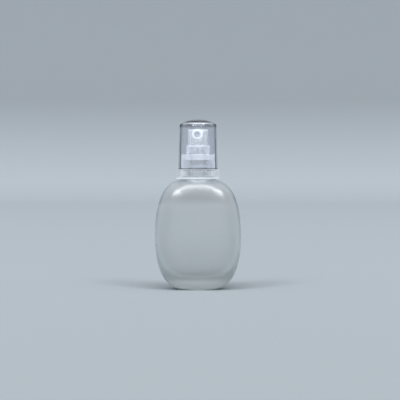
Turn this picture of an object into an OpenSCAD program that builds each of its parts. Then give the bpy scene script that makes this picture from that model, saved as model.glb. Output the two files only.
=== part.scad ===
// Foundation bottle: a flattened pebble of frosted glass with a finger pump under a clear over-cap.
// Millimetres. +Z is up, -Y is the front (the side the nozzle faces), and the origin is at the
// centre of the foot, on the surface that the bottle stands on.

/* [Glass bottle] */
// Width of the glass at its widest level
body_w = 56.6; // [54:0.2:60]
// Depth of the glass, front to back, at its widest level
body_d = 33; // [31:0.2:36]
// Height of the widest level above the foot
waist_z = 35.2; // [33:0.2:37]
// Height of the shoulder's crest, where the neck starts
crest_z = 72.6; // [72:0.1:73]
// Thickness of the solid glass in the base
base_t = 8.2; // [7:0.1:9]
// Thickness of the glass wall
wall_t = 2.3; // [2:0.1:2.6]
// Diameter of the neck between its threads
neck_d = 17.6; // [17.4:0.1:17.8]
// Diameter over the threads of the neck
neck_thread_d = 19.7; // [19.5:0.05:19.9]
// Diameter of the mouth
mouth_d = 11.8; // [11.6:0.1:12]
// Height of the sealing face at the mouth
mouth_z = 84.7; // [84.5:0.1:84.8]

/* [Screw closure] */
// Outer diameter of the closure's skirt
closure_d = 22.5; // [22.4:0.1:22.6]
// Height of the closure's top face
closure_top_z = 88.3; // [88.2:0.1:88.5]
// Height of the closure's lower edge
closure_low_z = 72.2; // [72.1:0.1:72.6]
// Height of the ledge that the over-cap stands on
ledge_z = 78.7; // [78.4:0.1:79]
// Diameter of the ledge at its top
ledge_top_d = 27; // [26.4:0.1:27.4]
// Diameter of the ledge at its lower edge
ledge_low_d = 28.2; // [27.8:0.1:28.6]
// Rise of the thread in one turn
pitch = 3.175; // [3.1:0.025:3.2]

/* [Over-cap] */
// Outer diameter of the over-cap at its rim
cap_low_d = 25.9; // [25.8:0.1:26.2]
// Outer diameter of the over-cap at its shoulder
cap_high_d = 24.3; // [24.2:0.1:24.6]
// Height of the over-cap's shoulder
cap_shoulder_z = 108; // [108:0.1:109]
// Height of the top of the dome
cap_top_z = 111.4; // [111.2:0.1:112.5]
// Height of the ceiling inside the over-cap
cap_ceiling_z = 109; // [108.8:0.1:109.2]

/* [Finger pump] */
// Diameter of the actuator button
button_d = 13.1; // [12.9:0.1:13.2]
// Height of the button's top
button_top_z = 104.6; // [104.2:0.1:104.8]
// Height of the nozzle's axis
nozzle_z = 101.5; // [101.3:0.1:101.6]
// Diameter of the boss round the nozzle
boss_d = 6.8; // [6.4:0.1:7]
// Diameter of the nozzle insert's face
insert_d = 4.1; // [3.9:0.1:4.2]
// Angle that the button is turned from straight ahead
nozzle_turn = 4; // [0:1:10]
// Diameter of the turret that guides the button
turret_d = 15.15; // [15:0.05:15.3]
// Height of the turret's rim
turret_top_z = 94.3; // [94.1:0.1:94.4]
// Travel of the button from rest to fully pressed
stroke = 3.5; // [3:0.1:3.5]
// Diameter of the pump stem
stem_d = 3.2; // [3:0.1:3.3]
// Bore of the pump chamber
chamber_d = 7.8; // [7.6:0.1:8]
// Outer diameter of the dip tube
tube_d = 2.4; // [2.2:0.1:2.6]
// Diameter of the check ball
ball_d = 2.2; // [2:0.1:2.3]

/* [Hidden] */

$fn = 64;
overlap = 1;

// glass: the outline's exponents above and below the waist, and the roundness of the plan section
outline_up = [2.32, 3.5];
outline_low = [2.16, 3.7];
depth_up = [2.32, 3.5];
depth_low = [2.3, 4.6];
plan_power = 3.1;
foot_sink = 0.4;
foot_lip = 2;
push_up = 0.6;
push_up_run = 1.2;
neck_blend = 2;
neck_root_z = crest_z + 0.7;
neck_base_z = crest_z + 1.9;
neck_core_z = crest_z - 4;
mouth_round = 0.6;
body_sides = 56;
cavity_sides = 40;
level_steps = 12;
cavity_steps = 9;

// threads: the turns and sizes of the ridge on the neck and of the one in the closure
neck_turns = 1.5;
closure_turns = 1.2;
ridge_root = 1.2;
ridge_crest = 0.6;
ridge_bite = 0.2;
thread_steps = 36;
fade_steps = 5;
fade_low = 0.1;
neck_thread_z = mouth_z - 1.7 - neck_turns * pitch;
closure_thread_z = neck_thread_z - pitch / 2;

// closure, gasket and housing flange, stacked on the mouth
gasket_t = 1;
flange_t = 1.2;
flange_d = 18;
seal_gap = 0.02;
plate_gap = 0.05;
gasket_z = mouth_z + seal_gap;
flange_z = gasket_z + gasket_t;
plate_z = flange_z + flange_t + plate_gap;
closure_in_r = closure_d / 2 - 1;
closure_thread_r = neck_d / 2 + 0.4;
skirt_low_z = closure_low_z + 2;
ledge_t = 1.1;
edge_r = 0.35;
bead_h = 1;
bead_out = 0.25;
chamfer = 0.2;

// over-cap
cap_wall_low = 1.5;
cap_wall_high = 1.05;
cap_ceiling_r = 3;
cap_rim_round = 0.25;
cap_shoulder_ease = 0.5;
cap_dome_share = 0.98;
cap_rim_z = ledge_z + plate_gap;

// pump
fit = 0.02;
slack = 0.3;
button_wall = 0.9;
button_roof = 1.3;
button_low_z = turret_top_z - 1.3;
socket_d = 5;
socket_low_z = 96.4;
stem_top_z = 99;
duct_z = nozzle_z - 1.55;
boss_out = 0.3;
insert_len = 2.4;
turret_wall = 0.8;
turret_low_z = closure_top_z + 0.1;
turret_floor_z = button_low_z - stroke - slack;
spigot_d = 9.76;
plate_hole_d = 10.4;
chamber_top_z = 79;
spigot_low_z = chamber_top_z + 0.2;
barrel_d = 9.2;
throat_d = spigot_d + 2 * fit;
upper_d = 11.4;
piston_top_z = spigot_low_z - 0.1;
piston_h = 4.6;
piston_low_z = piston_top_z - piston_h;
pole_flange_z = piston_low_z - 1.2;
stem_low_z = pole_flange_z + 1.3;
spring_seat_z = 63.9;
spring_wire = 0.5;
spring_d = 6.2;
spring_turns = 7;
spring_steps = 24;
ball_seat_z = 60.4;
socket_end_z = 54.5;
inlet_z = 60;
tube_low_z = base_t + 2.2;
ball_z = ball_seat_z + (ball_d / 2 + 0.04) * sqrt(2);

// how far a superellipse with the exponents e still reaches at the share u of its height
function reach(u, e) = pow(max(0, 1 - pow(min(1, u), e[0])), 1 / e[1]);

// the larger of two sizes, blended over a width k where they are alike
function blend_max(a, b, k) = (a + b + sqrt((a - b) * (a - b) + k * k)) / 2;

// half a size of the glass at height z, between a floor and a crest, blended into a neck radius
function half(z, size, floor_z, top_z, up, low, neck_r) =
    let (share = (z - waist_z) / (top_z - waist_z))
    blend_max(
        size * (z > waist_z ? reach(share, up) : reach((waist_z - z) / (waist_z - floor_z), low)),
        neck_r, neck_blend * max(0, share));

// one level of the glass: a superellipse of half sizes a and b that turns round towards the neck
function plan_at(z, a, b, power, sides) = [for (i = [0 : sides - 1])
    let (t = 360 * i / sides, c = cos(t), s = sin(t))
    [a * sign(c) * pow(abs(c), 2 / power), b * sign(s) * pow(abs(s), 2 / power), z]];

// the plan's power at height z: square-shouldered at the waist, a true circle at the neck
function power_at(z, top_z) = 2 + (plan_power - 2) * sqrt(reach(max(0, (z - waist_z)
    / (top_z - waist_z)), [4, 1]));

// heights from the floor to the crest, close together at both ends
function levels(floor_z, top_z, steps) = concat(
    [for (i = [0 : steps - 1]) waist_z - (waist_z - floor_z) * cos(90 * i / steps)],
    [for (i = [0 : steps]) waist_z + (top_z - waist_z) * sin(90 * i / steps)]);

// faces of a closed skin over n rings of m points each, with a flat cap at both ends
function skin_faces(n, m) = concat(
    [[for (j = [0 : m - 1]) j]],
    [for (i = [0 : n - 2], j = [0 : m - 1])
        let (a = i * m + j, b = i * m + (j + 1) % m) each [[a, a + m, b + m], [a, b + m, b]]],
    [[for (j = [m - 1 : -1 : 0]) (n - 1) * m + j]]);

module skin(rings) {
    polyhedron([for (ring = rings) each ring], skin_faces(len(rings), len(rings[0])));
}

// points of an arc in the plane, centred on c, from angle a to angle b
function arc(c, r, a, b, n) = [for (i = [0 : n])
    let (t = a + (b - a) * i / n) c + r * [cos(t), sin(t)]];

// a plain tube standing on low_z
module tube(d_out, d_in, low_z, high_z) {
    translate([0, 0, low_z])
        difference() {
            cylinder(d = d_out, h = high_z - low_z);
            translate([0, 0, -overlap])
                cylinder(d = d_in, h = high_z - low_z + 2 * overlap);
        }
}

// a screw ridge that rises from low_z, rooted at root_r and reaching crest_r, fading in and out
module thread_ridge(root_r, crest_r, low_z, turns) {
    steps = round(turns * thread_steps);
    outward = sign(crest_r - root_r);
    skin([for (i = [0 : steps])
        let (t = 360 * i / thread_steps,
             fade = max(fade_low, min(1, i / fade_steps, (steps - i) / fade_steps)),
             z = low_z + pitch * i / thread_steps,
             r0 = root_r - outward * ridge_bite,
             r1 = root_r + (crest_r - root_r) * fade,
             section = [[r0, z - ridge_root / 2], [r0, z + ridge_root / 2],
                        [r1, z + ridge_crest / 2], [r1, z - ridge_crest / 2]])
        [for (k = [0 : 3])
            let (p = section[outward > 0 ? k : 3 - k]) [p[0] * cos(t), p[0] * sin(t), p[1]]]]);
}

function outer_level(z) = plan_at(z,
    half(z, body_w / 2, -foot_sink, crest_z, outline_up, outline_low, neck_d / 2),
    half(z, body_d / 2, -foot_sink, crest_z, depth_up, depth_low, neck_d / 2),
    power_at(z, crest_z), body_sides);

function cavity_level(z) = plan_at(z,
    half(z, body_w / 2 - wall_t, base_t - foot_sink, crest_z - wall_t, outline_up, outline_low,
        mouth_d / 2),
    half(z, body_d / 2 - wall_t, base_t - foot_sink, crest_z - wall_t, depth_up, depth_low,
        mouth_d / 2),
    power_at(z, crest_z - wall_t), cavity_sides);

// the foot: a flat ring at z = 0 round a shallow push-up
function foot_level(z, inset) = [for (p = outer_level(0))
    let (r = norm([p[0], p[1]])) [p[0] * (r - inset) / r, p[1] * (r - inset) / r, z]];

module glass_body() {
    skin(concat(
        [foot_level(push_up, foot_lip + push_up_run), foot_level(0, foot_lip)],
        [for (z = levels(0, crest_z, level_steps)) outer_level(z)],
        [outer_level(neck_root_z), outer_level(neck_base_z)]));
}

module glass_cavity() {
    skin(concat(
        [for (z = levels(base_t, crest_z - wall_t, cavity_steps)) cavity_level(z)],
        [cavity_level(crest_z)]));
}

module glass_bottle() {
    color([0.78, 0.82, 0.84, 0.6])
        difference() {
            union() {
                glass_body();
                rotate_extrude()
                    polygon(concat(
                        [[0, neck_core_z], [neck_d / 2, neck_core_z]],
                        arc([neck_d / 2 - mouth_round, mouth_z - mouth_round], mouth_round, 0, 90, 4),
                        [[0, mouth_z]]));
                thread_ridge(neck_d / 2, neck_thread_d / 2, neck_thread_z, neck_turns);
            }
            glass_cavity();
            translate([0, 0, crest_z - overlap])
                cylinder(d = mouth_d, h = mouth_z - crest_z + 2 * overlap);
        }
}

module overcap() {
    high_r = cap_high_d / 2;
    low_r = cap_low_d / 2;
    rise = cap_top_z - cap_shoulder_z;
    dome_r = (high_r * high_r + rise * rise) / (2 * rise);
    dome_edge = asin(high_r / dome_r);
    hollow_r = high_r - cap_wall_high;
    rim_r = low_r - cap_wall_low;
    color([0.55, 0.57, 0.75, 0.35])
        rotate_extrude()
            polygon(concat(
                [[rim_r, cap_rim_z + chamfer], [rim_r + chamfer, cap_rim_z],
                 [low_r - cap_rim_round, cap_rim_z], [low_r, cap_rim_z + cap_rim_round],
                 [high_r, cap_shoulder_z - cap_shoulder_ease]],
                arc([0, cap_top_z - dome_r], dome_r, 90 - dome_edge * cap_dome_share, 90, 12),
                [[0, cap_ceiling_z]],
                arc([hollow_r - cap_ceiling_r, cap_ceiling_z - cap_ceiling_r], cap_ceiling_r, 90, 0, 6)));
}

module screw_closure() {
    top_r = closure_d / 2;
    in_r = closure_in_r;
    ledge_r = ledge_top_d / 2;
    foot_r = ledge_low_d / 2;
    color([0.9, 0.92, 0.95, 0.8]) {
        rotate_extrude()
            polygon(concat(
                [[plate_hole_d / 2, plate_z], [plate_hole_d / 2, closure_top_z]],
                arc([top_r - edge_r, closure_top_z - edge_r], edge_r, 90, 0, 3),
                [[top_r, ledge_z], [ledge_r - edge_r, ledge_z]],
                arc([ledge_r - edge_r, ledge_z - edge_r], edge_r, 90, 5, 3),
                [[foot_r - bead_out, closure_low_z + bead_h + 0.3], [foot_r, closure_low_z + bead_h],
                 [foot_r, closure_low_z + chamfer], [foot_r - chamfer, closure_low_z],
                 [foot_r - ledge_t, closure_low_z], [ledge_r - ledge_t, ledge_z - ledge_t],
                 [top_r, ledge_z - ledge_t], [top_r, skirt_low_z], [in_r, skirt_low_z],
                 [in_r, plate_z]]));
        thread_ridge(in_r, closure_thread_r, closure_thread_z, closure_turns);
    }
}

module turret() {
    top_r = turret_d / 2;
    spigot_r = spigot_d / 2;
    rim_r = top_r - turret_wall;
    well_r = spigot_r - 1;
    stem_hole_r = stem_d / 2 + slack;
    lead_in = 0.4;
    floor_t = 1;
    color([0.88, 0.9, 0.94, 0.8])
        rotate_extrude()
            polygon([
                [stem_hole_r, spigot_low_z], [spigot_r - lead_in, spigot_low_z],
                [spigot_r, spigot_low_z + lead_in], [spigot_r, turret_low_z], [top_r, turret_low_z],
                [top_r, turret_top_z - chamfer], [top_r - chamfer, turret_top_z],
                [rim_r + chamfer / 2, turret_top_z], [rim_r, turret_top_z - chamfer / 2],
                [rim_r, turret_floor_z], [well_r, turret_floor_z],
                [well_r, spigot_low_z + floor_t], [stem_hole_r, spigot_low_z + floor_t]]);
}

// places a child along the nozzle's axis, with the child's +Z pointing out of the nozzle
module on_nozzle_axis(out_of_centre) {
    rotate([0, 0, -nozzle_turn])
        translate([0, -out_of_centre, nozzle_z])
            rotate([90, 0, 0])
                children();
}

module button_shell() {
    r = button_d / 2;
    round_r = 0.6;
    dish = 0.35;
    dish_edge = 1.4;
    dish_run = 3.5;
    in_r = r - button_wall;
    low_edge = chamfer * 0.75;
    rotate_extrude()
        polygon(concat(
            [[in_r, button_low_z], [r - low_edge, button_low_z], [r, button_low_z + low_edge]],
            arc([r - round_r, button_top_z - round_r], round_r, 0, 90, 5),
            [[r - dish_edge, button_top_z - dish / 7], [r - dish_run, button_top_z - dish],
             [0, button_top_z - dish], [0, button_top_z - button_roof - dish],
             [in_r, button_top_z - button_roof]]));
}

module actuator_button() {
    boss_y = button_d / 2 + boss_out;
    boss_len = 2.4;
    duct_r = 2.9;
    channel_r = 0.4;
    seat_y = boss_y - insert_len - 0.5;
    post_r = 1.1;
    post_short = 0.6;
    color([0.94, 0.95, 0.97, 0.85])
        difference() {
            union() {
                button_shell();
                translate([0, 0, socket_low_z])
                    cylinder(d = socket_d, h = button_top_z - button_roof - socket_low_z + 0.2);
                on_nozzle_axis(0)
                    cylinder(r = duct_r, h = boss_y - overlap);
                on_nozzle_axis(boss_y - boss_len)
                    cylinder(d = boss_d, h = boss_len);
            }
            translate([0, 0, socket_low_z - overlap])
                cylinder(d = stem_d + 2 * fit, h = stem_top_z - socket_low_z + overlap);
            translate([0, 0, stem_top_z - 0.2])
                cylinder(d = stem_d / 2, h = duct_z - stem_top_z + 0.7);
            rotate([0, 0, -nozzle_turn])
                translate([0, channel_r, duct_z])
                    rotate([90, 0, 0])
                        cylinder(r = channel_r, h = seat_y + 2 * channel_r);
            on_nozzle_axis(seat_y)
                difference() {
                    cylinder(d = insert_d + 2 * fit, h = insert_len + 3);
                    translate([0, 0, -overlap])
                        cylinder(r = post_r, h = overlap + insert_len - post_short);
                }
        }
}

module nozzle_insert() {
    r = insert_d / 2;
    bore_r = 1.14;
    orifice_r = 0.2;
    cone_r = 0.7;
    front_t = 0.5;
    edge = 0.15;
    recess = 0.15;
    color([0.78, 0.79, 0.83])
        on_nozzle_axis(button_d / 2 + boss_out - insert_len - recess)
            rotate_extrude()
                polygon([
                    [bore_r, 0], [r, 0], [r, insert_len - edge], [r - edge, insert_len],
                    [cone_r, insert_len], [orifice_r, insert_len - front_t / 2],
                    [orifice_r, insert_len - front_t], [bore_r, insert_len - front_t]]);
}

module neck_gasket() {
    color([0.95, 0.95, 0.93])
        tube(flange_d, upper_d + 0.2, gasket_z, flange_z);
}

module pump_housing() {
    upper_r = upper_d / 2;
    throat_r = throat_d / 2;
    barrel_r = barrel_d / 2;
    bore_r = chamber_d / 2;
    step_z = chamber_top_z - 1.2;
    socket_r = tube_d / 2 + 0.8;
    inlet_r = 0.6;
    chamber_r = 1.5;
    lip_r = 1;
    lip_t = 0.6;
    slot_w = 0.6;
    slot_h = 1.2;
    shoulder_h = 0.8;
    seat_top_z = ball_seat_z + chamber_r;
    color([0.9, 0.92, 0.94, 0.8])
        difference() {
            rotate_extrude()
                polygon([
                    [tube_d / 2 + fit, socket_end_z], [socket_r, socket_end_z], [socket_r, inlet_z],
                    [barrel_r, spring_seat_z + lip_t], [barrel_r, step_z], [upper_r, step_z + shoulder_h],
                    [upper_r, flange_z], [flange_d / 2, flange_z], [flange_d / 2, flange_z + flange_t],
                    [throat_r, flange_z + flange_t], [throat_r, chamber_top_z],
                    [bore_r, chamber_top_z], [bore_r, spring_seat_z], [lip_r, spring_seat_z],
                    [lip_r, spring_seat_z - lip_t], [chamber_r, spring_seat_z - lip_t],
                    [chamber_r, seat_top_z], [inlet_r, ball_seat_z + inlet_r], [inlet_r, inlet_z],
                    [tube_d / 2 + fit, inlet_z]]);
            for (a = [0, 120, 240])
                rotate([0, 0, a])
                    translate([0, -slot_w / 2, spring_seat_z - lip_t - 0.1])
                        cube([chamber_r, slot_w, slot_h]);
        }
}

module stem() {
    color([0.95, 0.96, 0.97])
        tube(stem_d, stem_d / 2, stem_low_z, stem_top_z);
}

module piston() {
    lip_r = chamber_d / 2 - 0.03;
    lip_t = 0.6;
    lip_h = 0.4;
    waist_r = lip_r - 0.35;
    waist_low_z = piston_low_z + 1.2;
    waist_high_z = piston_top_z - 1;
    upper_lip_z = piston_top_z - 0.1;
    web_r = waist_r - 0.7;
    web_low_z = piston_low_z + 2;
    web_high_z = web_low_z + 1.2;
    hub_r = stem_d / 2 + 0.9;
    hub_low_z = piston_low_z + slack;
    bore_r = stem_d / 2 + 0.05;
    color([0.9, 0.9, 0.9])
        rotate_extrude()
            polygon([
                [bore_r, hub_low_z], [hub_r, hub_low_z], [hub_r, web_low_z], [web_r, web_low_z],
                [lip_r - lip_t, piston_low_z], [lip_r, piston_low_z], [lip_r, piston_low_z + lip_h],
                [waist_r, waist_low_z], [waist_r, waist_high_z], [lip_r, piston_top_z - lip_h],
                [lip_r, upper_lip_z], [lip_r - lip_t, upper_lip_z], [web_r, web_high_z],
                [hub_r, web_high_z], [hub_r, piston_top_z], [bore_r, piston_top_z]]);
}

module valve_pole() {
    pin_r = stem_d / 4 - fit;
    flange_r = spring_d / 2 + 0.3;
    flange_h = 0.8;
    hub_r = stem_d / 2 - 0.2;
    hub_z = pole_flange_z + 1.1;
    guide_r = spring_d / 2 - spring_wire - slack;
    guide_low_z = spring_seat_z + 4.2;
    pin_top_z = stem_low_z + 4;
    pin_chamfer = 0.3;
    color([0.9, 0.9, 0.92])
        rotate_extrude()
            polygon([
                [0, guide_low_z], [guide_r - 0.8, guide_low_z], [guide_r - slack, pole_flange_z],
                [flange_r, pole_flange_z], [flange_r, pole_flange_z + flange_h], [hub_r, hub_z],
                [hub_r, stem_low_z], [pin_r, stem_low_z], [pin_r, pin_top_z - pin_chamfer],
                [pin_r - pin_chamfer, pin_top_z], [0, pin_top_z]]);
}

// a compression spring with a closed coil at each end
module return_spring() {
    end_gap = spring_wire / 2 + 0.05;
    low_z = spring_seat_z + end_gap;
    high_z = pole_flange_z - end_gap;
    closed = spring_wire * 1.05;
    middle = (high_z - low_z - 2 * closed) / (spring_turns - 2);
    steps = spring_turns * spring_steps;
    sides = 8;
    mean_r = (spring_d - spring_wire) / 2;
    color([0.72, 0.73, 0.75])
        skin([for (i = [0 : steps])
            let (turn = i / spring_steps,
                 z = low_z + closed * min(turn, 1) + middle * min(max(turn - 1, 0), spring_turns - 2)
                     + closed * max(turn - spring_turns + 1, 0))
            [for (k = [0 : sides - 1])
                let (a = -360 * k / sides, r = mean_r + cos(a) * spring_wire / 2)
                [r * cos(360 * turn), r * sin(360 * turn), z + sin(a) * spring_wire / 2]]]);
}

module check_ball() {
    color([0.8, 0.81, 0.83])
        translate([0, 0, ball_z])
            sphere(d = ball_d);
}

module dip_tube() {
    wall = 0.5;
    slant = 35;
    cut_drop = 1.6;
    cut_rise = 0.9;
    color([0.93, 0.94, 0.95, 0.8])
        difference() {
            tube(tube_d, tube_d - 2 * wall, tube_low_z, inlet_z - 0.1);
            translate([0, 0, tube_low_z - cut_drop])
                rotate([0, slant, 0])
                    translate([-tube_d * 2, -tube_d, -tube_d * 2])
                        cube([tube_d * 4, tube_d * 2, tube_d * 2 + cut_rise]);
        }
}

glass_bottle();
overcap();
actuator_button();
nozzle_insert();
screw_closure();
turret();
neck_gasket();
pump_housing();
stem();
piston();
valve_pole();
return_spring();
check_ball();
dip_tube();
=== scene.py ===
import math

import bmesh
import bpy
from mathutils import Matrix, Vector


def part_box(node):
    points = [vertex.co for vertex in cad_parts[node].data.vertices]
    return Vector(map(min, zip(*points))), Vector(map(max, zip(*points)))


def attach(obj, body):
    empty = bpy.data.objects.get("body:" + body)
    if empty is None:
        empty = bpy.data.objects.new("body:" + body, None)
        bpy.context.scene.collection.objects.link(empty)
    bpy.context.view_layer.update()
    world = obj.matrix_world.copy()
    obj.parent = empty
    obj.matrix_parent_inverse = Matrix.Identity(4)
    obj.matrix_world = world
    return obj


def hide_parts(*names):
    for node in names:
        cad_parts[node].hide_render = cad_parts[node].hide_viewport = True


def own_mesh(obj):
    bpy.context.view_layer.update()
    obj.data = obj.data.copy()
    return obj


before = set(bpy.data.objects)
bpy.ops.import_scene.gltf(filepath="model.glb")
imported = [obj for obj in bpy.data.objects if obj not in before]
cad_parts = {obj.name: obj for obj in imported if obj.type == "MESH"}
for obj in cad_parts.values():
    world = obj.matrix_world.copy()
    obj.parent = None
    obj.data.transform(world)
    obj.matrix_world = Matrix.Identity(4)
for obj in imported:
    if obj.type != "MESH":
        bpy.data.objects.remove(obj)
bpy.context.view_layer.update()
scene = bpy.context.scene

# ---------------------------------------------------------------------------------------------
# Sizes, in metres. What the frame can say comes from its boxes; the rest repeats the CAD's sizes.
# ---------------------------------------------------------------------------------------------
MM = 0.001

_, glass_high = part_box("glass_bottle")
cap_low, cap_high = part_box("overcap")
closure_low, closure_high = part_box("screw_closure")
turret_low, turret_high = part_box("turret")
button_low, button_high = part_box("actuator_button")
gasket_low, gasket_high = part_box("neck_gasket")
housing_low, housing_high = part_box("pump_housing")
stem_low, stem_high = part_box("stem")
piston_low, piston_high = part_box("piston")
pole_low, pole_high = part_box("valve_pole")
spring_low, spring_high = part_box("return_spring")
tube_low, tube_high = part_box("dip_tube")

# the glass: widest level, crest of the shoulder, thicknesses, neck
GLASS_W, GLASS_D = 56.6 * MM, 33 * MM
WAIST_Z = 35.2 * MM
CREST_Z = 72.6 * MM
FOOT_SINK = 0.4 * MM
FOOT_LIP = 2.0 * MM
PUSH_UP = 0.6 * MM
PUSH_UP_RAMP, PUSH_UP_REACH = 0.5 * MM, 6 * MM
BASE_T = 8.2 * MM
WALL_T = 2.3 * MM
NECK_R = 8.8 * MM
NECK_BLEND = 2.0 * MM
THREAD_R = 9.85 * MM
MOUTH_R = 5.9 * MM
MOUTH_LIP = 0.6 * MM
OUTLINE_UP, OUTLINE_LOW = (2.32, 3.5), (2.16, 3.7)
DEPTH_UP, DEPTH_LOW = (2.32, 3.5), (2.3, 4.6)
PLAN_POWER = 3.1
GLASS_SIDES = 192
GLASS_LEVELS = 48
GLASS_INSET = 0.04 * MM
SHOULDER_ROOT_LEVELS = [CREST_Z + rise * MM for rise in (0.4, 0.8, 1.3, 1.9)]
THREAD_FOOT = 2.2 * MM
BORE_LEVELS = [80 * MM, 76 * MM, 73.5 * MM]

# the screw thread
PITCH = 3.175 * MM
RIDGE_ROOT = 1.2 * MM
RIDGE_CREST = 0.6 * MM
NECK_TURNS = 1.5
CLOSURE_TURNS = 1.2
THREAD_MESH_STEP = 0.12 * MM
NECK_THREAD_Z = glass_high.z - 1.7 * MM - NECK_TURNS * PITCH
CLOSURE_THREAD_Z = NECK_THREAD_Z - PITCH / 2

# the pump head
NOZZLE_TURN = math.radians(4)
NOZZLE_Z = 101.5 * MM
NOZZLE_OUT = 0.3 * MM
BUTTON_TOP_Z = 104.6 * MM
STROKE = 3.5 * MM

# the picture: what the camera and the lamps aim at
CENTRE_Z = 58.6 * MM

TURN = 2 * math.pi


# ---------------------------------------------------------------------------------------------
# Mesh tools
# ---------------------------------------------------------------------------------------------
def arc(centre, radius, start, end, steps):
    """Points of an arc in the plane, from one angle in degrees to another."""
    angles = [math.radians(start + (end - start) * i / steps) for i in range(steps + 1)]
    return [(centre[0] + radius * math.cos(a), centre[1] + radius * math.sin(a)) for a in angles]


def softened(outline, steps=4):
    """An outline of (radius, height, fillet) points with each corner rounded by its fillet."""
    points = []
    count = len(outline)
    for i, (r, z, fillet) in enumerate(outline):
        corner = Vector((r, z))
        if fillet <= 0:
            points.append((r, z))
            continue
        before = Vector(outline[i - 1][:2]) - corner
        after = Vector(outline[(i + 1) % count][:2]) - corner
        reach = min(fillet, 0.45 * before.length, 0.45 * after.length)
        start, end = corner + before.normalized() * reach, corner + after.normalized() * reach
        for k in range(steps + 1):
            t = k / steps
            p = start * (1 - t) ** 2 + corner * (2 * t * (1 - t)) + end * t ** 2
            points.append((p.x, p.y))
    return points


def to_object(name, bm, sharp=35):
    """A smooth-shaded object from a bmesh, with edges sharper than the angle kept sharp."""
    bmesh.ops.recalc_face_normals(bm, faces=bm.faces)
    mesh = bpy.data.meshes.new(name)
    bm.to_mesh(mesh)
    bm.free()
    mesh.shade_smooth()
    if sharp:
        mesh.set_sharp_from_angle(angle=math.radians(sharp))
    obj = bpy.data.objects.new(name, mesh)
    scene.collection.objects.link(obj)
    return obj


def lathe(name, outline, segments=128, relief=None, sharp=35, turn=Matrix.Identity(4)):
    """A closed outline of (radius, height) points turned about the Z axis, then placed by turn."""
    bm = bmesh.new()
    rows = []
    for r, z in outline:
        if r < 1e-7:
            rows.append([bm.verts.new(turn @ Vector((0, 0, z)))] * segments)
            continue
        row = []
        for j in range(segments):
            a = TURN * j / segments
            radius = relief(a, r, z) if relief else r
            row.append(bm.verts.new(turn @ Vector((radius * math.cos(a), radius * math.sin(a), z))))
        rows.append(row)
    for i, row in enumerate(rows):
        above = rows[(i + 1) % len(rows)]
        for j in range(segments):
            k = (j + 1) % segments
            corners = list(dict.fromkeys((row[j], row[k], above[k], above[j])))
            if len(corners) >= 3:
                bm.faces.new(corners)
    return to_object(name, bm, sharp)


def even_normals(obj):
    """Lets large faces set the normals, so that flat stretches stay flat next to their fillets."""
    modifier = obj.modifiers.new("even_normals", "WEIGHTED_NORMAL")
    modifier.keep_sharp = True
    modifier.weight = 80
    return obj


def combine(base, tool, operation):
    """Unites base with tool, or cuts tool from it, and removes tool."""
    modifier = base.modifiers.new("combine", "BOOLEAN")
    modifier.operation = operation
    modifier.solver = "EXACT"
    modifier.object = tool
    graph = bpy.context.evaluated_depsgraph_get()
    mesh = bpy.data.meshes.new_from_object(base.evaluated_get(graph))
    base.modifiers.clear()
    base.data = mesh
    bpy.data.objects.remove(tool)
    return base


def tidy(obj, sharp=32):
    """Merges the slivers that a boolean leaves and shades the result smooth."""
    bm = bmesh.new()
    bm.from_mesh(obj.data)
    bmesh.ops.remove_doubles(bm, verts=bm.verts, dist=0.004 * MM)
    bmesh.ops.dissolve_degenerate(bm, edges=bm.edges, dist=0.002 * MM)
    bm.to_mesh(obj.data)
    bm.free()
    obj.data.shade_smooth()
    obj.data.set_sharp_from_angle(angle=math.radians(sharp))
    return even_normals(obj)


def ridge_height(angle, z, low_z, turns):
    """How much of a screw ridge stands at this angle and height, from 0 to 1."""
    tallest = 0
    for lap in range(math.ceil(turns) + 1):
        share = angle / TURN + lap
        if share > turns:
            continue
        off = abs(z - low_z - PITCH * share)
        flank = (RIDGE_ROOT / 2 - off) / (RIDGE_ROOT / 2 - RIDGE_CREST / 2)
        fade = min(1, share * 8, (turns - share) * 8)
        tallest = max(tallest, min(1, max(0, flank)) * max(0, fade))
    return tallest * tallest * (3 - 2 * tallest)


def piece(obj, body, slot, materials, *nodes):
    """Gives a finished piece its body and its finish, and hides the CAD nodes that it stands for.
    """
    for material in materials:
        obj.data.materials.append(material)
    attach(obj, body)
    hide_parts(*nodes)
    return obj


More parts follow.
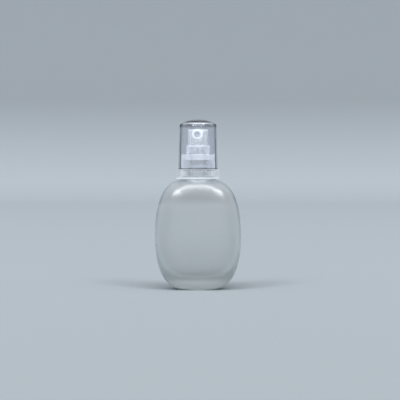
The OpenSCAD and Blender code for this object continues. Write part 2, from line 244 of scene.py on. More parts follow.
# ---------------------------------------------------------------------------------------------
# Materials
# ---------------------------------------------------------------------------------------------
class Finish:
    """A Principled material whose patterns are built from noise in the object's own metres."""

    def __init__(self, name, **values):
        self.material = bpy.data.materials.new(name)
        self.material.use_nodes = True
        self.nodes = self.material.node_tree.nodes
        self.links = self.material.node_tree.links
        self.shader = self.nodes["Principled BSDF"]
        self.place = self.nodes.new("ShaderNodeTexCoord").outputs["Object"]
        for socket, value in values.items():
            self.shader.inputs[socket.replace("_", " ")].default_value = value

    def noise(self, grain, detail=3, stretch=(1, 1, 1)):
        """Noise whose grains are about this many metres across."""
        mapping = self.nodes.new("ShaderNodeMapping")
        mapping.inputs["Scale"].default_value = stretch
        self.links.new(self.place, mapping.inputs["Vector"])
        noise = self.nodes.new("ShaderNodeTexNoise")
        noise.inputs["Scale"].default_value = 1 / grain
        noise.inputs["Detail"].default_value = detail
        self.links.new(mapping.outputs["Vector"], noise.inputs["Vector"])
        return noise.outputs["Fac"]

    def ramp(self, factor, low, high, start=0.35, end=0.65):
        """A number or colour that follows the factor from low to high."""
        if isinstance(low, tuple):
            node = self.nodes.new("ShaderNodeValToRGB")
            node.color_ramp.elements[0].position = start
            node.color_ramp.elements[1].position = end
            node.color_ramp.elements[0].color = (*low, 1)
            node.color_ramp.elements[1].color = (*high, 1)
            self.links.new(factor, node.inputs["Fac"])
            return node.outputs["Color"]
        node = self.nodes.new("ShaderNodeMapRange")
        node.inputs["From Min"].default_value = start
        node.inputs["From Max"].default_value = end
        node.inputs["To Min"].default_value = low
        node.inputs["To Max"].default_value = high
        self.links.new(factor, node.inputs["Value"])
        return node.outputs["Result"]

    def vary(self, socket, low, high, grain, **shape):
        """Lets a socket wander between two values over grains of this size."""
        self.links.new(self.ramp(self.noise(grain, **shape), low, high), self.shader.inputs[socket])
        return self

    def bump(self, depth, grain, **shape):
        """A fine relief of this depth and grain, in metres."""
        bump = self.nodes.new("ShaderNodeBump")
        bump.inputs["Distance"].default_value = depth
        bump.inputs["Strength"].default_value = 1
        self.links.new(self.noise(grain, **shape), bump.inputs["Height"])
        self.links.new(bump.outputs["Normal"], self.shader.inputs["Normal"])
        return self

    def tint_below(self, height, fade, colour):
        """Gives the surface this colour below a height, and its own above it."""
        split = self.nodes.new("ShaderNodeSeparateXYZ")
        self.links.new(self.place, split.inputs["Vector"])
        share = self.ramp(split.outputs["Z"], 0.0, 1.0, height - fade, height)
        tint = self.nodes.new("ShaderNodeMixRGB")
        self.links.new(share, tint.inputs["Fac"])
        tint.inputs["Color1"].default_value = (*colour, 1)
        base = self.shader.inputs["Base Color"]
        self.links.new(base.links[0].from_socket, tint.inputs["Color2"])
        self.links.new(tint.outputs["Color"], base)
        return self

    def let_lamps_through(self, colour):
        """Passes the lamps' light straight on in this tint, so that what is inside is lit."""
        path = self.nodes.new("ShaderNodeLightPath")
        clear = self.nodes.new("ShaderNodeBsdfTransparent")
        clear.inputs["Color"].default_value = (*colour, 1)
        mix = self.nodes.new("ShaderNodeMixShader")
        self.links.new(path.outputs["Is Shadow Ray"], mix.inputs[0])
        self.links.new(self.shader.outputs["BSDF"], mix.inputs[1])
        self.links.new(clear.outputs["BSDF"], mix.inputs[2])
        self.links.new(mix.outputs["Shader"], self.nodes["Material Output"].inputs["Surface"])
        return self

    def by_height(self, socket, *stops, at_edges=1.0):
        """Lets a socket follow the height above the floor through (height, value) stops.

        Where the surface turns away from view, where more material lies behind it, the value
        falls to the share at_edges of itself."""
        split = self.nodes.new("ShaderNodeSeparateXYZ")
        self.links.new(self.place, split.inputs["Vector"])
        span = stops[-1][0] - stops[0][0]
        share = self.ramp(split.outputs["Z"], 0.0, 1.0, stops[0][0], stops[-1][0])
        ramp = self.nodes.new("ShaderNodeValToRGB")
        ramp.color_ramp.interpolation = "EASE"
        while len(ramp.color_ramp.elements) < len(stops):
            ramp.color_ramp.elements.new(0.5)
        for element, (height, value) in zip(ramp.color_ramp.elements, stops):
            element.position = (height - stops[0][0]) / span
            element.color = (value, value, value, 1)
        self.links.new(share, ramp.inputs["Fac"])
        if at_edges == 1.0:
            self.links.new(ramp.outputs["Color"], self.shader.inputs[socket])
            return self
        turn = self.nodes.new("ShaderNodeLayerWeight")
        scaled = self.nodes.new("ShaderNodeMath")
        scaled.operation = "MULTIPLY"
        self.links.new(ramp.outputs["Color"], scaled.inputs[0])
        facing = self.ramp(turn.outputs["Facing"], 1.0, at_edges, 0.12, 0.6)
        self.links.new(facing, scaled.inputs[1])
        self.links.new(scaled.outputs["Value"], self.shader.inputs[socket])
        return self

    def absorb(self, colour, density):
        """Tints what is seen through the solid, the more the thicker it is."""
        volume = self.nodes.new("ShaderNodeVolumeAbsorption")
        volume.inputs["Color"].default_value = (*colour, 1)
        volume.inputs["Density"].default_value = density
        output = self.nodes["Material Output"]
        self.links.new(volume.outputs["Volume"], output.inputs["Volume"])
        return self


frosted = Finish("frosted_glass", IOR=1.5, Coat_Weight=1.0, Coat_Roughness=0.22)
frosted.by_height("Transmission Weight", (0, 0.22), (4.5 * MM, 0.40), (8.5 * MM, 0.69),
                  (17 * MM, 0.60), (40 * MM, 0.59), (54 * MM, 0.62), (61 * MM, 0.73),
                  (76 * MM, 0.76))
frosted.vary("Base Color", (0.915, 0.965, 1.0), (0.93, 0.975, 1.0), 9 * MM)
frosted.tint_below(11 * MM, 7 * MM, (0.93, 0.95, 0.935))
frosted.vary("Roughness", 0.39, 0.44, 2.2 * MM)
frosted.bump(0.004 * MM, 0.25 * MM, detail=2)
frosted.absorb((0.66, 0.70, 0.67), 110)
frosted.let_lamps_through((0.62, 0.64, 0.655))

clear_glass = Finish("clear_glass", Transmission_Weight=1.0, IOR=1.5)
clear_glass.vary("Base Color", (0.985, 0.99, 0.99), (0.995, 1.0, 1.0), 12 * MM)
clear_glass.vary("Roughness", 0.03, 0.07, 3 * MM)
clear_glass.bump(0.01 * MM, 4 * MM, detail=1)
clear_glass.absorb((0.66, 0.70, 0.67), 110)
clear_glass.let_lamps_through((0.95, 0.96, 0.96))

clear_styrene = Finish("clear_styrene", Transmission_Weight=1.0, IOR=1.56)
clear_styrene.vary("Base Color", (0.915, 0.923, 0.945), (0.94, 0.947, 0.962), 6 * MM)
clear_styrene.vary("Roughness", 0.012, 0.03, 1.5 * MM)
clear_styrene.bump(0.002 * MM, 1.2 * MM, detail=2, stretch=(1, 1, 0.2))
# Painted shade: the cap's lowest 0.7 mm is coloured near black, standing in for the dark line along
# its bottom edge.
clear_styrene.tint_below(cap_low.z + 0.7 * MM, 0.2 * MM, (0.16, 0.17, 0.22))
clear_styrene.absorb((0.42, 0.44, 0.60), 88)
clear_styrene.let_lamps_through((0.985, 0.985, 0.99))


def natural_plastic(name, clarity, roughness, base, lamps, sheen, at_edges=0.4):
    """Unpigmented polypropylene, which looks the milkier the thicker it is."""
    finish = Finish(name, IOR=1.49, Sheen_Weight=sheen, Sheen_Roughness=0.35)
    finish.by_height("Transmission Weight", *clarity, at_edges=at_edges)
    darker = tuple(0.97 * channel for channel in base)
    finish.vary("Base Color", darker, base, 3 * MM)
    finish.vary("Roughness", roughness - 0.03, roughness + 0.03, 0.8 * MM)
    finish.bump(0.004 * MM, 0.3 * MM, detail=3)
    finish.let_lamps_through(lamps)
    return finish


clear_skirt = natural_plastic(
    "clear_skirt", [(cap_low.z - 1 * MM, 0.92), (cap_low.z + 0.3 * MM, 0.72),
                    (closure_high.z - 3.7 * MM, 0.78), (closure_high.z - 3.2 * MM, 0.56),
                    (closure_high.z, 0.44)],
    0.08, (0.91, 0.925, 0.94), (0.80, 0.81, 0.82), 0.7, 0.30)
clear_collar = natural_plastic(
    "clear_collar", [(closure_low.z, 0.45), (closure_low.z + 1.6 * MM, 0.86), (cap_low.z, 0.86)],
    0.08, (0.91, 0.925, 0.94), (0.80, 0.81, 0.82), 0.7, 0.58)
# Painted shade: the closure's thread ridges get a dark grey base, standing in for the dark bands
# that the threads show through the clear skirt.
ridge_painted_shade = natural_plastic(
    "ridge_painted_shade", [(closure_low.z, 0.30), (closure_high.z, 0.30)],
    0.22, (0.42, 0.44, 0.48), (0.50, 0.51, 0.52), 0.3)
milky_turret = natural_plastic(
    "milky_turret", [(turret_high.z - 5 * MM, 0.90), (turret_high.z - 1.6 * MM, 0.84),
                     (turret_high.z - 0.6 * MM, 0.60), (turret_high.z, 0.55)],
    0.14, (0.93, 0.945, 0.96), (0.60, 0.61, 0.62), 1.0)
clear_button = natural_plastic(
    "clear_button", [(button_low.z, 0.70), (button_low.z + 1 * MM, 0.89),
                     (BUTTON_TOP_Z - 1.6 * MM, 0.89), (BUTTON_TOP_Z - 0.4 * MM, 0.55)],
    0.06, (0.975, 0.985, 0.99), (0.96, 0.965, 0.97), 0.3, 0.5)
milky_core = natural_plastic(
    "milky_core", [(button_low.z, 0.10), (button_high.z, 0.10)],
    0.22, (0.985, 0.99, 1.0), (0.93, 0.935, 0.94), 0.3)

# Painted shade: a slightly darker, clearer copy of milky_core for the nozzle boss, which tones down
# the bright ring that the light makes on it.
milky_boss_shaded = natural_plastic(
    "milky_boss_shaded", [(button_low.z, 0.30), (button_high.z, 0.30)],
    0.22, (0.97, 0.975, 0.985), (0.95, 0.955, 0.96), 0.3)

grey_plastic = Finish("grey_plastic", IOR=1.5)
grey_plastic.vary("Base Color", (0.38, 0.39, 0.41), (0.44, 0.45, 0.47), 1.2 * MM)
grey_plastic.vary("Roughness", 0.36, 0.46, 0.5 * MM)
grey_plastic.bump(0.003 * MM, 0.2 * MM)

foam = Finish("gasket_foam", IOR=1.45)
foam.vary("Base Color", (0.80, 0.80, 0.77), (0.88, 0.88, 0.86), 0.4 * MM)
foam.vary("Roughness", 0.75, 0.92, 0.3 * MM)
foam.bump(0.03 * MM, 0.18 * MM, detail=4)

piston_plastic = Finish("piston_plastic", IOR=1.5)
piston_plastic.vary("Base Color", (0.74, 0.75, 0.76), (0.82, 0.83, 0.84), 1.5 * MM)
piston_plastic.vary("Roughness", 0.28, 0.36, 0.6 * MM)
piston_plastic.bump(0.003 * MM, 0.3 * MM)

steel = Finish("spring_steel", Metallic=1.0)
steel.vary("Base Color", (0.55, 0.56, 0.58), (0.68, 0.69, 0.71), 0.6 * MM, stretch=(1, 1, 3))
steel.vary("Roughness", 0.20, 0.36, 0.15 * MM, stretch=(1, 1, 4))
steel.bump(0.002 * MM, 0.1 * MM, stretch=(1, 1, 4))

tube_plastic = Finish("tube_plastic", Transmission_Weight=0.55, IOR=1.5)
tube_plastic.vary("Base Color", (0.86, 0.89, 0.90), (0.91, 0.94, 0.95), 4 * MM, stretch=(1, 1, 0.2))
tube_plastic.vary("Roughness", 0.26, 0.36, 1.0 * MM, stretch=(1, 1, 0.1))
tube_plastic.bump(0.004 * MM, 0.4 * MM, stretch=(1, 1, 0.1))


# ---------------------------------------------------------------------------------------------
# The glass bottle
# ---------------------------------------------------------------------------------------------
def superellipse(share, powers):
    """How far a superellipse still reaches at this share of its height."""
    return max(0.0, 1 - min(1.0, share) ** powers[0]) ** (1 / powers[1])


def blend_max(a, b, width):
    return (a + b + math.sqrt((a - b) ** 2 + width ** 2)) / 2


def half_size(z, size, floor, crest, up, low, neck):
    """Half the glass's width or depth at a height, blended into the neck above the waist."""
    share = (z - WAIST_Z) / (crest - WAIST_Z)
    if share > 0:
        return blend_max(size * superellipse(share, up), neck, NECK_BLEND * share)
    return blend_max(size * superellipse((WAIST_Z - z) / (WAIST_Z - floor), low), neck, 0)


def level(z, thickness, floor, crest, neck):
    """The ring of points of the glass's outside (thickness 0) or of its cavity at a height."""
    a = half_size(z, GLASS_W / 2 - thickness, floor, crest, OUTLINE_UP, OUTLINE_LOW, neck)
    b = half_size(z, GLASS_D / 2 - thickness, floor, crest, DEPTH_UP, DEPTH_LOW, neck)
    share = max(0.0, (z - WAIST_Z) / (crest - WAIST_Z))
    power = 2 + (PLAN_POWER - 2) * math.sqrt(superellipse(share, (4, 1)))
    ring = []
    for j in range(GLASS_SIDES):
        c, s = math.cos(TURN * j / GLASS_SIDES), math.sin(TURN * j / GLASS_SIDES)
        r = (abs(c) ** power + abs(s) ** power) ** (-1 / power)
        ring.append((a * r * c, b * r * s, z))
    return ring


def outside(z):
    return level(z, GLASS_INSET, -FOOT_SINK, CREST_Z, NECK_R)


def cavity(z):
    return level(z, WALL_T, BASE_T - FOOT_SINK, CREST_Z - WALL_T, MOUTH_R)


def heights(floor, crest, steps):
    """Heights from the floor to the crest, close together at both ends."""
    quarter = [math.pi / 2 * i / steps for i in range(steps + 1)]
    low = [WAIST_Z - (WAIST_Z - floor) * math.cos(a) for a in quarter[:-1]]
    high = [WAIST_Z + (crest - WAIST_Z) * math.sin(a) for a in quarter]
    return low + high


def foot_ring(z, inset):
    """The foot's ring at z = 0, drawn in towards the axis and set to a height."""
    ring = []
    for x, y, _ in outside(0):
        r = math.hypot(x, y)
        ring.append((x * (r - inset) / r, y * (r - inset) / r, z))
    return ring


def neck_ring(r, z, threaded=False):
    ring = []
    for j in range(GLASS_SIDES):
        a = TURN * j / GLASS_SIDES
        rise = ridge_height(a, z, NECK_THREAD_Z, NECK_TURNS) if threaded else 0
        radius = r + (THREAD_R - NECK_R) * rise
        ring.append((radius * math.cos(a), radius * math.sin(a), z))
    return ring


def bottle_mesh():
    mouth_z = glass_high.z
    push_up = [foot_ring(PUSH_UP * (1 - k * k), FOOT_LIP + PUSH_UP_RAMP + PUSH_UP_REACH * (1 - k))
               for k in (0.25, 0.5, 0.75, 0.9)]
    foot = push_up + [foot_ring(0, FOOT_LIP), foot_ring(0, FOOT_LIP / 2), foot_ring(0, 0.3 * MM)]
    body = [outside(z) for z in heights(0, CREST_Z, GLASS_LEVELS)[1:]]
    root = [outside(z) for z in SHOULDER_ROOT_LEVELS]
    thread_low = CREST_Z + THREAD_FOOT
    thread_high = mouth_z - MOUTH_LIP
    steps = round((thread_high - thread_low) / THREAD_MESH_STEP)
    neck = [neck_ring(NECK_R, thread_low + (thread_high - thread_low) * i / steps, True)
            for i in range(steps)]
    lip = [neck_ring(r, z) for r, z in arc((NECK_R - MOUTH_LIP, thread_high), MOUTH_LIP, 0, 90, 6)]
    inner_lip = [neck_ring(r, z) for r, z in
                 arc((MOUTH_R + MOUTH_LIP / 2, mouth_z - MOUTH_LIP / 2), MOUTH_LIP / 2, 90, 180, 5)]
    bore = [neck_ring(MOUTH_R, z) for z in BORE_LEVELS]
    inside = [cavity(z) for z in reversed(heights(BASE_T, CREST_Z - WALL_T, GLASS_LEVELS))]
    rings = foot + body + root + neck + lip + inner_lip + bore + inside
    frosted_rings = len(foot) + len(body) + len(root)
    clear_from = frosted_rings + len(neck)

    bm = bmesh.new()
    rows = [[bm.verts.new(p) for p in ring] for ring in rings]
    bottom = bm.verts.new((0, 0, PUSH_UP))
    floor = bm.verts.new((0, 0, BASE_T))
    for i in range(len(rows) - 1):
        for j in range(GLASS_SIDES):
            k = (j + 1) % GLASS_SIDES
            face = bm.faces.new((rows[i][j], rows[i][k], rows[i + 1][k], rows[i + 1][j]))
            on_ridge = math.hypot(*face.calc_center_median().xy) > NECK_R + 0.3 * MM
            face.material_index = 0 if i < frosted_rings or on_ridge and i < clear_from else 1
    for j in range(GLASS_SIDES):
        k = (j + 1) % GLASS_SIDES
        bm.faces.new((bottom, rows[0][k], rows[0][j])).material_index = 0
        bm.faces.new((floor, rows[-1][j], rows[-1][k])).material_index = 1
    return to_object("bottle_glass", bm, sharp=50)


piece(bottle_mesh(), "bottle", "frosted_glass", [frosted.material, clear_glass.material],
      "glass_bottle")


# ---------------------------------------------------------------------------------------------
# The over-cap
# ---------------------------------------------------------------------------------------------
def overcap_mesh():
    low_r = cap_high.x
    high_r = low_r - 0.8 * MM
    shoulder_z = cap_high.z - 3.4 * MM
    ceiling_z = cap_high.z - 2.4 * MM
    rise = cap_high.z - shoulder_z
    dome_r = (high_r ** 2 + rise ** 2) / (2 * rise)
    edge = math.degrees(math.asin(high_r / dome_r))
    hollow_r = high_r - 1.05 * MM
    corner = 3 * MM
    rim = softened([
        (low_r - 1.5 * MM, cap_low.z, 0.2 * MM), (low_r, cap_low.z, 0.25 * MM),
        (high_r, shoulder_z - 0.4 * MM, 0.5 * MM)])
    dome = arc((0, cap_high.z - dome_r), dome_r, 90 - edge * 0.975, 90, 20)
    dome[-1] = (0, cap_high.z)
    ceiling = [(0, ceiling_z)] + arc((hollow_r - corner, ceiling_z - corner), corner, 90, 0, 12)
    return lathe("cap_shell", rim + dome + ceiling, segments=192)


piece(even_normals(overcap_mesh()), "cap", "clear_cap", [clear_styrene.material], "overcap")


# ---------------------------------------------------------------------------------------------
# The screw closure
# ---------------------------------------------------------------------------------------------
def closure_mesh():
    top_z, low_z = closure_high.z, closure_low.z
    skirt_r = 11.25 * MM
    inner_r = 10.25 * MM
    thread_r = NECK_R + 0.4 * MM
    ledge_z = cap_low.z - 0.05 * MM
    ledge_r = 13.5 * MM
    foot_r = closure_high.x
    ledge_t = 1.1 * MM
    plate_z = housing_high.z + 0.05 * MM
    skirt_low = low_z + 2 * MM
    outer = softened([
        (5.2 * MM, plate_z, 0.1 * MM), (5.2 * MM, top_z, 0.15 * MM), (skirt_r, top_z, 0.35 * MM),
        (skirt_r, ledge_z, 0.12 * MM), (ledge_r, ledge_z, 0.4 * MM),
        (foot_r - 0.25 * MM, low_z + 1.35 * MM, 0.3 * MM), (foot_r, low_z + 1.0 * MM, 0.2 * MM),
        (foot_r, low_z, 0.25 * MM), (foot_r - ledge_t, low_z, 0.25 * MM),
        (ledge_r - ledge_t, ledge_z - ledge_t, 0.3 * MM), (skirt_r, ledge_z - ledge_t, 0.3 * MM),
        (skirt_r, skirt_low, 0.2 * MM), (inner_r, skirt_low, 0.2 * MM)])
    rows = 90
    wall_low, wall_high = skirt_low + 0.3 * MM, plate_z - 0.2 * MM
    wall = [(inner_r, wall_low + (wall_high - wall_low) * i / rows) for i in range(rows + 1)]

    def relief(angle, r, z):
        if r != inner_r:
            return r
        return r - (inner_r - thread_r) * ridge_height(angle, z, CLOSURE_THREAD_Z, CLOSURE_TURNS)

    shell = lathe("closure_shell", outer + wall + [(inner_r, plate_z)], segments=160, relief=relief)
    for face in shell.data.polygons:
        height = face.center.z
        radius = math.hypot(*face.center.xy)
        # the thread ridges inside take slot 1, the dark grey painted shade
        if wall_low < height < wall_high and radius < inner_r - 0.25 * MM:
            face.material_index = 1
        elif radius > skirt_r + 0.1 * MM:
            face.material_index = 2
    return shell


piece(even_normals(closure_mesh()), "closure", "natural_plastic",
      [clear_skirt.material, ridge_painted_shade.material, clear_collar.material], "screw_closure")


# ---------------------------------------------------------------------------------------------
# The turret, the button and the nozzle
# ---------------------------------------------------------------------------------------------
def turret_mesh():
    top_r = turret_high.x
    low_z, top_z = turret_low.z, turret_high.z
    spigot_r = 4.88 * MM
    well_r = spigot_r - 1 * MM
    hole_r = 1.9 * MM
    seat_z = closure_high.z + 0.1 * MM
    floor_z = button_low.z - STROKE - 0.3 * MM
    inner_r = top_r - 0.8 * MM
    return lathe("pump_turret", softened([
        (hole_r, low_z, 0.1 * MM), (spigot_r, low_z, 0.4 * MM), (spigot_r, seat_z, 0.1 * MM),
        (top_r, seat_z, 0.15 * MM), (top_r, top_z, 0.25 * MM), (inner_r, top_z, 0.2 * MM),
        (inner_r, floor_z, 0.2 * MM), (well_r, floor_z, 0.15 * MM),
        (well_r, low_z + 1 * MM, 0.2 * MM),
        (hole_r, low_z + 1 * MM, 0.1 * MM)]))


def nozzle_place(out):
    """Turns +Z to point out of the nozzle, from a point this far in front of the pump's axis."""
    aim = Matrix.Rotation(-NOZZLE_TURN, 4, "Z")
    return aim @ Matrix.Translation((0, -out, NOZZLE_Z)) @ Matrix.Rotation(math.pi / 2, 4, "X")


def button_mesh():
    r = button_high.x
    low_z = button_low.z
    top_z = BUTTON_TOP_Z
    roof_z = top_z - 1.3 * MM
    dish = 0.35 * MM
    inner_r = r - 0.9 * MM
    boss_out = r + NOZZLE_OUT
    boss_r, boss_length = 3.4 * MM, 2.4 * MM
    duct_r, duct_end = 2.9 * MM, boss_out - 1 * MM
    stem_r, channel_r = 1.62 * MM, 0.8 * MM
    channel_top = NOZZLE_Z - 1.05 * MM
    pin_r, seat_r = 1.1 * MM, 2.07 * MM
    socket_r = 2.5 * MM
    socket_low = 96.4 * MM
    stem_top = stem_high.z
    seat = boss_out - 2.9 * MM
    shell = lathe("pump_button", softened([
        (inner_r, low_z, 0.15 * MM), (r, low_z, 0.2 * MM), (r, top_z, 0.7 * MM),
        (r - 1.5 * MM, top_z - 0.03 * MM, 0.4 * MM), (r - 3.6 * MM, top_z - dish, 1.2 * MM)], 6)
        + [(0, top_z - dish), (0, roof_z - dish)]
        + softened([(inner_r, roof_z - dish * 0.6, 0.4 * MM)], 4))
    socket = lathe("socket", softened([
        (0, socket_low, 0), (socket_r, socket_low, 0.2 * MM), (socket_r, roof_z + 0.2 * MM, 0),
        (0, roof_z + 0.2 * MM, 0)]), 96)
    duct = lathe("duct", [(0, 0), (duct_r, 0), (duct_r, duct_end), (0, duct_end)], 96,
                 turn=nozzle_place(0))
    boss = lathe("boss", softened([
        (0, 0, 0), (boss_r, 0, 0.2 * MM), (boss_r, boss_length, 0.35 * MM), (0, boss_length, 0)]),
        128, turn=nozzle_place(boss_out - boss_length))
    stem_hole = lathe("stem_hole", [
        (0, socket_low - MM), (stem_r, socket_low - MM), (stem_r, stem_top),
        (channel_r, stem_top), (channel_r, channel_top), (0, channel_top)], 96)
    seat_ring = lathe("seat_ring", [
        (pin_r, 0), (seat_r, 0), (seat_r, 6 * MM), (0, 6 * MM), (0, 1.8 * MM),
        (pin_r, 1.8 * MM)], 96, turn=nozzle_place(seat))
    for part in (socket, duct, boss):
        combine(shell, part, "UNION")
    for part in (stem_hole, seat_ring):
        combine(shell, part, "DIFFERENCE")
    tidy(shell)
    to_nozzle = nozzle_place(0).inverted()
    slack = 0.05 * MM
    # boss faces take slot 2, the shaded copy of the core plastic; socket faces take slot 1, the
    # milky core
    for face in shell.data.polygons:
        corners = [shell.data.vertices[i].co for i in face.vertices]
        along = [to_nozzle @ p for p in corners]
        in_boss = all(p.xy.length < boss_r + slack and p.z > MM for p in along)
        in_socket = all(p.xy.length < socket_r + slack and p.z < roof_z + slack for p in corners)
        face.material_index = 2 if in_boss else 1 if in_socket else 0
    return shell


def insert_mesh():
    r = 2.05 * MM
    length = 2.4 * MM
    bore = 1.14 * MM
    orifice = 0.2 * MM
    sunk = 0.15 * MM
    return lathe("nozzle_tip", softened([
        (bore, 0, 0.05 * MM), (r, 0, 0.1 * MM), (r, length, 0.22 * MM),
        (0.9 * MM, length, 0.1 * MM),
        (0.7 * MM, length - 0.12 * MM, 0.08 * MM), (orifice, length - 0.25 * MM, 0.04 * MM),
        (orifice, length - 0.5 * MM, 0), (bore, length - 0.5 * MM, 0.05 * MM)]), 96,
        turn=nozzle_place(button_high.x + NOZZLE_OUT - length - sunk))


piece(even_normals(turret_mesh()), "pump", "natural_plastic", [milky_turret.material], "turret")
piece(button_mesh(), "head", "natural_plastic",
      [clear_button.material, milky_core.material, milky_boss_shaded.material], "actuator_button")
piece(even_normals(insert_mesh()), "head", "insert_plastic", [grey_plastic.material],
      "nozzle_insert")


# ---------------------------------------------------------------------------------------------
# The pump inside the neck and the bottle
# ---------------------------------------------------------------------------------------------
def gasket_mesh():
    r_out, r_in = gasket_high.x, 5.8 * MM
    return lathe("mouth_gasket", softened([
        (r_in, gasket_low.z, 0.15 * MM), (r_out, gasket_low.z, 0.2 * MM),
        (r_out, gasket_high.z, 0.2 * MM), (r_in, gasket_high.z, 0.15 * MM)]))


def housing_mesh():
    seat_z = spring_low.z - 0.05 * MM
    flange_z = gasket_high.z
    top_z = housing_high.z
    socket_end = housing_low.z
    inlet_z = tube_high.z + 0.1 * MM
    chamber_top = turret_low.z - 0.2 * MM
    upper_r, barrel_r, bore_r = 5.7 * MM, 4.6 * MM, 3.9 * MM
    socket_r, tube_r = 2.0 * MM, tube_high.x + 0.02 * MM
    step_z = chamber_top - 1.2 * MM
    inner_top_r, seat_r, ball_r, inlet_r = 4.9 * MM, 1.0 * MM, 1.5 * MM, 0.6 * MM
    ball_top, ball_low, cone_low = seat_z - 0.6 * MM, 61.9 * MM, 61.0 * MM
    rib, rib_levels = 0.12 * MM, (67 * MM, 72 * MM)
    outer = [
        (tube_r, socket_end, 0.1 * MM), (socket_r, socket_end, 0.25 * MM),
        (socket_r, inlet_z, 0.5 * MM), (barrel_r, seat_z + 0.6 * MM, 0.5 * MM)]
    for z in rib_levels:
        outer += [(barrel_r, z, 0.1 * MM), (barrel_r + rib, z + 0.25 * MM, 0.1 * MM),
                  (barrel_r + rib, z + 0.55 * MM, 0.1 * MM), (barrel_r, z + 0.8 * MM, 0.1 * MM)]
    outer += [
        (barrel_r, step_z, 0.3 * MM), (upper_r, step_z + 0.8 * MM, 0.3 * MM),
        (upper_r, flange_z, 0.15 * MM), (housing_high.x, flange_z, 0.2 * MM),
        (housing_high.x, top_z, 0.25 * MM), (inner_top_r, top_z, 0.15 * MM),
        (inner_top_r, chamber_top, 0.1 * MM), (bore_r, chamber_top, 0.2 * MM),
        (bore_r, seat_z, 0.1 * MM), (seat_r, seat_z, 0.05 * MM), (seat_r, ball_top, 0.05 * MM),
        (ball_r, ball_top, 0.05 * MM), (ball_r, ball_low, 0.1 * MM),
        (inlet_r, cone_low, 0.05 * MM), (inlet_r, inlet_z, 0.05 * MM),
        (tube_r, inlet_z, 0.05 * MM)]
    return lathe("pump_barrel", softened(outer, 3), 96)


def stem_mesh():
    r, bore = stem_high.x, stem_high.x / 2
    return lathe("pump_stem", softened([
        (bore, stem_low.z, 0.1 * MM), (r, stem_low.z, 0.15 * MM), (r, stem_high.z, 0.2 * MM),
        (bore, stem_high.z, 0.1 * MM)]), 96)


def piston_mesh():
    low_z, top_z = piston_low.z, piston_high.z
    lip_r = piston_high.x
    waist_r = lip_r - 0.35 * MM
    hub_r, bore_r = 2.5 * MM, 1.65 * MM
    hub_low, lip_top = low_z + 0.3 * MM, top_z - 0.1 * MM
    web_r = waist_r - 0.7 * MM
    web_low, web_high = low_z + 2 * MM, low_z + 3.2 * MM
    return lathe("pump_piston", softened([
        (bore_r, hub_low, 0.05 * MM), (hub_r, hub_low, 0.1 * MM), (hub_r, web_low, 0.2 * MM),
        (web_r, web_low, 0.2 * MM), (lip_r - 0.6 * MM, low_z, 0.1 * MM), (lip_r, low_z, 0.08 * MM),
        (lip_r, low_z + 0.4 * MM, 0.1 * MM), (waist_r, low_z + 1.2 * MM, 0.3 * MM),
        (waist_r, top_z - 1 * MM, 0.3 * MM), (lip_r, top_z - 0.4 * MM, 0.1 * MM),
        (lip_r, lip_top, 0.05 * MM), (lip_r - 0.5 * MM, lip_top, 0.1 * MM),
        (web_r, web_high, 0.2 * MM), (hub_r, web_high, 0.2 * MM), (hub_r, top_z, 0.1 * MM),
        (bore_r, top_z, 0.05 * MM)], 3), 96)


def pole_mesh():
    flange_z = piston_low.z - 1.2 * MM
    low_z, top_z = pole_low.z, pole_high.z
    neck_r, pin_r, guide_r = 1.4 * MM, 0.78 * MM, 2.3 * MM
    return lathe("valve_pin", softened([
        (0, low_z, 0), (guide_r - 0.8 * MM, low_z, 0.3 * MM),
        (guide_r - 0.3 * MM, flange_z, 0.2 * MM),
        (pole_high.x, flange_z, 0.1 * MM), (pole_high.x, flange_z + 0.8 * MM, 0.15 * MM),
        (neck_r, flange_z + 1.1 * MM, 0.1 * MM), (neck_r, stem_low.z, 0.05 * MM),
        (pin_r, stem_low.z, 0.05 * MM), (pin_r, top_z - 0.5 * MM, 0.1 * MM),
        (pin_r - 0.3 * MM, top_z, 0.1 * MM), (0, top_z, 0)], 3), 96)


def spring_mesh():
    wire = 0.5 * MM
    turns = 7
    steps, sides = turns * 48, 14
    mean_r = spring_high.x - wire / 2
    low_z, high_z = spring_low.z + wire / 2, spring_high.z - wire / 2
    closed = wire * 1.05
    middle = (high_z - low_z - 2 * closed) / (turns - 2)
    bm = bmesh.new()
    rings = []
    for i in range(steps + 1):
        turn = turns * i / steps
        z = low_z + closed * min(turn, 1) + middle * min(max(turn - 1, 0), turns - 2)
        z += closed * max(turn - turns + 1, 0)
        ring = []
        for k in range(sides):
            a = TURN * k / sides
            r = mean_r + math.cos(a) * wire / 2
            ring.append(bm.verts.new((r * math.cos(TURN * turn), r * math.sin(TURN * turn),
                                      z + math.sin(a) * wire / 2)))
        rings.append(ring)
    for one, other in zip(rings, rings[1:]):
        for k in range(sides):
            m = (k + 1) % sides
            bm.faces.new((one[k], one[m], other[m], other[k]))
    bm.faces.new(rings[0])
    bm.faces.new(rings[-1])
    return to_object("plunger_spring", bm, sharp=50)


def dip_tube_mesh():
    r, bore = tube_high.x, tube_high.x - 0.5 * MM
    slant_angle = math.radians(35)
    knife_size, knife_z = 8 * MM, tube_low.z - 3.2 * MM
    tube = lathe("siphon_tube", softened([
        (bore, tube_low.z, 0), (r, tube_low.z, 0), (r, tube_high.z, 0.1 * MM),
        (bore, tube_high.z, 0.1 * MM)]), 64)
    bm = bmesh.new()
    bmesh.ops.create_cube(bm, size=knife_size)
    slant = Matrix.Translation((0, 0, knife_z)) @ Matrix.Rotation(slant_angle, 4, "Y")
    bmesh.ops.transform(bm, matrix=slant, verts=bm.verts)
    knife = to_object("knife", bm)
    return tidy(combine(tube, knife, "DIFFERENCE"))


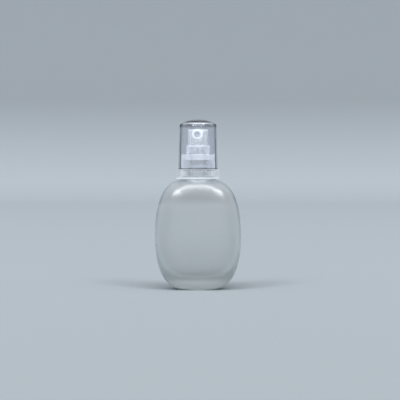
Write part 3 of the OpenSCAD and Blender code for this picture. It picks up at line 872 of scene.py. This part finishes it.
piece(even_normals(gasket_mesh()), "pump", "gasket_foam", [foam.material], "neck_gasket")
piece(even_normals(housing_mesh()), "pump", "natural_plastic", [milky_turret.material],
      "pump_housing")
piece(even_normals(stem_mesh()), "head", "natural_plastic", [milky_turret.material], "stem")
piece(even_normals(piston_mesh()), "plunger", "piston_plastic", [piston_plastic.material], "piston")
piece(even_normals(pole_mesh()), "plunger", "natural_plastic", [milky_turret.material],
      "valve_pole")
spring = piece(spring_mesh(), "pump", "spring_steel", [steel.material], "return_spring")
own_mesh(spring)
piece(dip_tube_mesh(), "pump", "tube_plastic", [tube_plastic.material], "dip_tube")

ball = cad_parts["check_ball"]
ball.data.materials.clear()
ball.data.materials.append(steel.material)


# ---------------------------------------------------------------------------------------------
# Studio: a round paper cove, soft lights and the camera
# ---------------------------------------------------------------------------------------------
COVE_FLOOR_R = 2.4
COVE_FILLET = 1.1
COVE_H = 1.4
COVE_SIDES = 96

# the paper's painted light and shade: darker on the floor under the bottle, cancelling the lamps'
# pool of light there, lighter out to the wall, painted shade up the wall, and painted shade in the
# four far corners
TONE_CENTRE = (0, -0.6, 0)
FLOOR_PAINTED_SHADE, WALL_TONE = 0.355, 0.66
TONE_NEAR, TONE_FAR = 0.1, 3.3
RISE_PAINTED_SHADE = 0.66
RISE_LOW, RISE_HIGH = 0.05, 0.28
CORNER_PAINTED_SHADE = 0.15
CORNER_START, CORNER_END = 1.5, 1.85


def cove():
    """A floor that sweeps up all round into a low wall."""
    outline = [(0, 0), (0.15, 0), (0.5, 0), (1.2, 0)]
    outline += arc((COVE_FLOOR_R, COVE_FILLET), COVE_FILLET, -90, 0, 24)
    outline += [(COVE_FLOOR_R + COVE_FILLET, COVE_H)]
    bm = bmesh.new()
    rows = []
    for r, z in outline:
        if r == 0:
            rows.append([bm.verts.new((0, 0, z))] * COVE_SIDES)
            continue
        angles = [TURN * j / COVE_SIDES for j in range(COVE_SIDES)]
        rows.append([bm.verts.new((r * math.cos(a), r * math.sin(a), z)) for a in angles])
    for row, above in zip(rows, rows[1:]):
        for j in range(COVE_SIDES):
            k = (j + 1) % COVE_SIDES
            bm.faces.new(dict.fromkeys((row[j], row[k], above[k], above[j])))
    obj = to_object("paper_cove", bm, sharp=0)
    paper = Finish("cove_paper", Roughness=0.9, Specular_IOR_Level=0.1)
    reach = paper.nodes.new("ShaderNodeVectorMath")
    reach.operation = "DISTANCE"
    reach.inputs[1].default_value = TONE_CENTRE
    paper.links.new(paper.place, reach.inputs[0])
    split = paper.nodes.new("ShaderNodeSeparateXYZ")
    paper.links.new(paper.place, split.inputs["Vector"])
    # Painted light and shade: the paper is darker under the bottle, where the lamps' light pools,
    # lighter out to the wall, and darker again up the wall.
    tone = paper.nodes.new("ShaderNodeMath")
    tone.operation = "MULTIPLY"
    outward = paper.ramp(reach.outputs["Value"], FLOOR_PAINTED_SHADE, WALL_TONE, TONE_NEAR, TONE_FAR)
    upward = paper.ramp(split.outputs["Z"], 1.0, RISE_PAINTED_SHADE, RISE_LOW, RISE_HIGH)
    paper.links.new(outward, tone.inputs[0])
    paper.links.new(upward, tone.inputs[1])
    # Painted shade: the paper darkens to near black in the four far corners.
    corner = paper.nodes.new("ShaderNodeMath")
    corner.operation = "MINIMUM"
    for axis, socket in zip("XY", corner.inputs):
        away = paper.nodes.new("ShaderNodeMath")
        away.operation = "ABSOLUTE"
        paper.links.new(split.outputs[axis], away.inputs[0])
        paper.links.new(away.outputs["Value"], socket)
    dimmed = paper.nodes.new("ShaderNodeMath")
    dimmed.operation = "MULTIPLY"
    paper.links.new(tone.outputs["Value"], dimmed.inputs[0])
    dimming = paper.ramp(corner.outputs["Value"], 1.0, CORNER_PAINTED_SHADE, CORNER_START, CORNER_END)
    paper.links.new(dimming, dimmed.inputs[1])
    shade = paper.ramp(dimmed.outputs["Value"], (0, 0, 0), (0.90, 0.955, 1.0), 0, 1)
    paper.links.new(shade, paper.shader.inputs["Base Color"])
    obj.data.materials.append(paper.material)


def soft_box(name, place, width, height, radiance):
    """A large dull lamp that points at the middle of the bottle."""
    light = bpy.data.lights.new(name, "AREA")
    light.shape = "RECTANGLE"
    light.size, light.size_y = width, height
    light.energy = radiance * math.pi * width * height
    light.color = (0.93, 0.97, 1.0)
    obj = bpy.data.objects.new(name, light)
    scene.collection.objects.link(obj)
    obj.location = place
    aim = Vector((0, 0, CENTRE_Z)) - Vector(place)
    obj.rotation_euler = aim.to_track_quat("-Z", "Y").to_euler()
    obj.visible_camera = False


def studio():
    cove()
    for side in (-1, 1):
        place = (side * 1.9, -2.3, 3.1)
        soft_box(f"front_box_{side}", place, width=1.3, height=1.0, radiance=15)
    soft_box("top_box", (0, -2.1, 3.55), width=2.5, height=1.0, radiance=10)
    world = bpy.data.worlds.new("studio_air")
    scene.world = world
    world.use_nodes = True
    background = world.node_tree.nodes["Background"]
    background.inputs["Color"].default_value = (0.88, 0.94, 1.0, 1)
    background.inputs["Strength"].default_value = 0.62
    scene.view_settings.view_transform = "Standard"
    scene.cycles.use_denoising = True
    scene.cycles.max_bounces = 16
    scene.cycles.transmission_bounces = 16


def camera():
    """The view of the bottle's front from just above the middle of its neck."""
    distance = 0.90
    field = 0.2624
    across = 1.3 * MM
    height = 78 * MM
    sensor = 36
    data = bpy.data.cameras.new("camera")
    obj = bpy.data.objects.new("camera", data)
    scene.collection.objects.link(obj)
    obj.location = (across, -distance, height)
    aim = Vector((across, 0, CENTRE_Z))
    obj.rotation_euler = (aim - obj.location).to_track_quat("-Z", "Y").to_euler()
    data.sensor_width = sensor
    data.lens = sensor * (aim - obj.location).length / field
    scene.camera = obj


studio()
camera()
